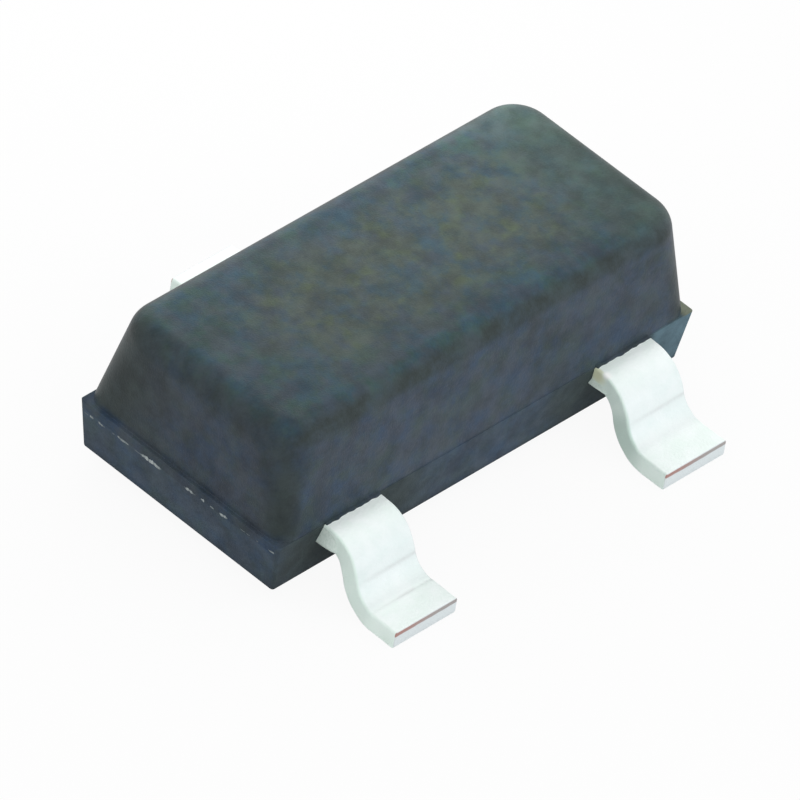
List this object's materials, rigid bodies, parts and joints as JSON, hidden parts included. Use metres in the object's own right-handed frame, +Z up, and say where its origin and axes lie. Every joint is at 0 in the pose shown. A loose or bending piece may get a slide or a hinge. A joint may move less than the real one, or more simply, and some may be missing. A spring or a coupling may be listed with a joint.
{
  "type": "sot-23 transistor",
  "caption": "Surface-mount transistor: a dark moulded epoxy block with a tapered, rounded upper half and tinned gull-wing leads that solder flat to a board.",
  "frame": {"origin": "on the seating plane of the lead feet, under the middle of the body", "axes": "+X along the body's length, -Y towards the pair of leads, +Z up from the board"},
  "size_m": [0.003, 0.0026, 0.001],
  "materials": {
    "epoxy": "fine matte moulded epoxy, dark charcoal",
    "tinned_lead": "matte tin plate on copper, bare copper at the sheared tips",
    "die_attach": "cured silver-filled adhesive",
    "silicon": "sawn silicon with polished top",
    "bond_wire": "drawn copper wire"
  },
  "bodies": {
    "root": {"moulded_body": "epoxy", "gate_lead": "tinned_lead", "source_lead": "tinned_lead", "drain_lead": "tinned_lead", "die_attach": "die_attach", "silicon_die": "silicon", "gate_bond_wire": "bond_wire", "source_bond_wire_left": "bond_wire", "source_bond_wire_right": "bond_wire"}
  },
  "joints": []
}
